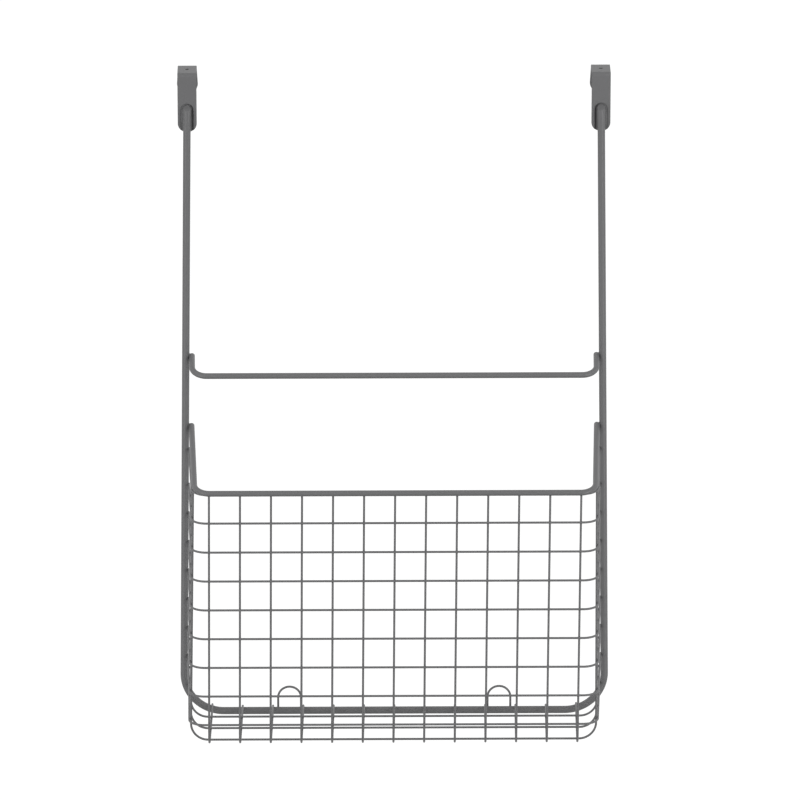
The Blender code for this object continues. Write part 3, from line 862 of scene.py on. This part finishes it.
def add_pieces():
    """The frame and the bars, the basket's wires, the rest loops, the hooks and the weld beads."""
    rod_coat = powder_coat("rod_coat", COAT_COLOUR, COAT_ROUGHNESS, ROD_PEEL)
    wire_coat = powder_coat("wire_coat", COAT_COLOUR, COAT_ROUGHNESS, WIRE_PEEL)
    hook_coat = powder_coat("hook_coat", COAT_COLOUR, COAT_ROUGHNESS, ROD_PEEL)
    # The weld beads' coat is painted darker, partly for its thinner film and partly as painted shade in
    # the welds' crevices.
    weld_coat_and_painted_shade = powder_coat("weld_coat_and_painted_shade", WELD_THIN_COAT_AND_SHADE_COLOUR, WELD_ROUGHNESS, ROD_PEEL)
    slope = FRAME_END_DROP / FRAME_DIAMETER
    add_piece("bent_frame", tube(frame_route(), FRAME_DIAMETER, ROD_SIDES, slope), rod_coat, ["frame_rod"])
    add_piece("bent_towel_bar", tube(towel_route(), BAR_DIAMETER, ROD_SIDES), rod_coat, ["towel_bar"])
    add_piece("bent_rim", tube(rim_route(), BAR_DIAMETER, ROD_SIDES), rod_coat, ["basket_rim"])
    for number, x in enumerate(FRONT_XS, 1):
        add_wire(f"upright_{number:02d}", front_route(x), wire_coat, [f"front_wire_{number:02d}"])
    for number, z in enumerate(BAND_ZS, 1):
        add_wire(f"band_{number}", band_route(z), wire_coat, [f"band_wire_{number}"])
    below_rim = rounded_route(mirrored(rim_wire_side()), BAND_CORNER)
    add_wire("wire_below_rim", below_rim, wire_coat, ["rim_wire"])
    for number, y in enumerate(CRADLE_YS, 1):
        add_wire(f"cradle_{number}", cradle_route(y), wire_coat, [f"cradle_wire_{number}"])
    for side, word in ((-1, "left"), (1, "right")):
        shape = tube(loop_route(side * LOOP_CENTRE_X), WIRE_DIAMETER, WIRE_SIDES)
        add_piece(f"loop_{word}", shape, wire_coat, [f"rest_loop_{word}"])
        shape = hook_surface(side)
        add_piece(f"stamped_hook_{word}", shape, hook_coat, [f"hook_{word}"], turn_outwards=True)
    add_piece("grid_welds", racked(beads(*grid_crossings())), weld_coat_and_painted_shade)
    add_piece("rod_welds", racked(beads(*rod_welds())), weld_coat_and_painted_shade)


# The studio.


def aim(thing, place, target):
    """Turns a camera or lamp at the place to look at the target, with the picture's top upwards."""
    back = Vector(unit(np.array(place, float) - np.array(target, float)))
    right = Vector((0, 0, 1)).cross(back).normalized()
    up = back.cross(right)
    turn = Matrix((right, up, back)).transposed().to_4x4()
    thing.matrix_world = Matrix.Translation(Vector(place)) @ turn


def add_camera():
    """The lens follows from the picture's scale at the target. The camera is moved sideways and up,
    without turning, until the target falls on its pixel."""
    flat = math.cos(CAMERA_ELEVATION)
    ahead = np.array((math.sin(CAMERA_AZIMUTH), math.cos(CAMERA_AZIMUTH), 0))
    back = -flat * ahead + np.array((0, 0, math.sin(CAMERA_ELEVATION)))
    right = unit(np.cross((0, 0, 1), back))
    up = np.cross(back, right)
    middle = PICTURE_SIDE / 2
    aside = right * (middle - TARGET_PIXEL[0]) / PIXELS_PER_METRE
    above = up * (TARGET_PIXEL[1] - middle) / PIXELS_PER_METRE
    centre = TARGET + aside + above
    data = bpy.data.cameras.new("photo_camera")
    data.sensor_width = SENSOR_WIDTH_MM
    data.lens = PIXELS_PER_METRE * CAMERA_DISTANCE * SENSOR_WIDTH_MM / PICTURE_SIDE
    data.clip_end = FARTHEST_SEEN
    camera = bpy.data.objects.new("photo_camera", data)
    bpy.context.scene.collection.objects.link(camera)
    aim(camera, centre + back * CAMERA_DISTANCE, centre)
    bpy.context.scene.camera = camera


def add_softbox(name, side, watts):
    """A tall softbox on one side, turned to the hook and leg of that side."""
    data = bpy.data.lights.new(name, "AREA")
    data.shape = "RECTANGLE"
    data.size, data.size_y = BOX_SIZE
    data.spread = BOX_SPREAD
    data.energy = watts
    lamp = bpy.data.objects.new(name, data)
    bpy.context.scene.collection.objects.link(lamp)
    lamp.visible_camera = False
    place = (side * BOX_PLACE[0], BOX_PLACE[1], BOX_PLACE[2])
    aim(lamp, place, (side * FRAME_TOP_HALF, FRAME_Y, BOX_PLACE[2]))


def add_sky():
    """Seen straight or through glass the sky is white. In reflections it is white at its edge and falls
    off with the square of the height, and the light that it gives grows with the height."""
    world = bpy.data.worlds.new("studio")
    bpy.context.scene.world = world
    sky = Nodes(world, "Background")
    camera, glossy, transmission = sky.rays()
    height = sky.node("ShaderNodeSeparateXYZ", {}, {0: sky.place.outputs["Generated"]}).outputs["Z"]
    overhead = Value(sky, height).at_least(0.0)
    straight = camera + transmission
    mirrored_sky = glossy * (1.0 - overhead * overhead * SKY_FALL)
    light = (1.0 - straight - glossy) * (overhead * SKY_OVERHEAD + SKY_AMBIENT)
    sky.feed(sky.shader.inputs["Strength"], straight + mirrored_sky + light)
    sky.shader.inputs["Color"].default_value = (1, 1, 1, 1)


def add_studio():
    """The lamps, the sky and the floor, which is a wide square."""
    add_softbox("left_softbox", -1, LEFT_WATTS)
    add_softbox("right_softbox", 1, RIGHT_WATTS)
    add_sky()
    mesh = bpy.data.meshes.new("floor")
    half = FLOOR_HALF
    corners = [(x, y, FLOOR_Z) for x, y in ((-half, -half), (half, -half), (half, half), (-half, half))]
    mesh.from_pydata(corners, [], [(0, 1, 2, 3)])
    mesh.materials.append(floor_material())
    floor = bpy.data.objects.new("floor", mesh)
    bpy.context.scene.collection.objects.link(floor)


bpy.context.scene.view_settings.view_transform = "Standard"
add_camera()
add_pieces()
add_studio()
